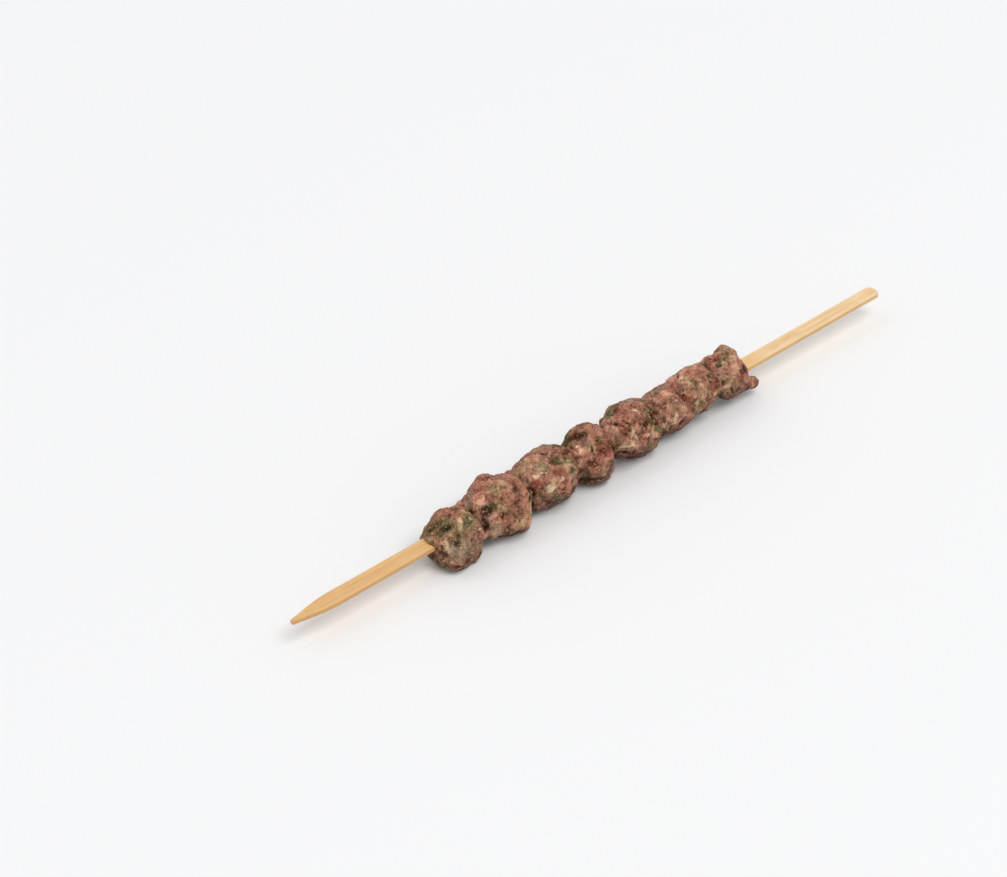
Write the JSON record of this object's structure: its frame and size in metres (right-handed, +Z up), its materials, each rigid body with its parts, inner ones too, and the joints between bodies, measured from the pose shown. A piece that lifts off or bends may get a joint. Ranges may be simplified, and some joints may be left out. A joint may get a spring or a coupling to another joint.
{
  "type": "kofta skewer",
  "caption": "Lumps of cooked herbed minced meat pressed together in a row on a flat bamboo skewer with a pointed end, lying on their flat undersides.",
  "frame": {"origin": "under the middle of the whole, on the surface that it lies on", "axes": "+X along the stick from its point to its square end, +Z up from the surface, through the broad face of the stick"},
  "size_m": [0.3, 0.0228, 0.0219],
  "materials": {
    "bamboo": "planed bamboo with fine long fibres, pale straw, satin",
    "cooked_mince": "coarse cooked mince, brown to pink-brown with green herbs, slightly moist"
  },
  "bodies": {
    "root": {"bamboo_stick": "bamboo", "kofta_1": "cooked_mince", "kofta_2": "cooked_mince", "kofta_3": "cooked_mince", "kofta_4": "cooked_mince", "kofta_5": "cooked_mince", "kofta_6": "cooked_mince", "kofta_7": "cooked_mince", "kofta_8": "cooked_mince"}
  },
  "joints": []
}
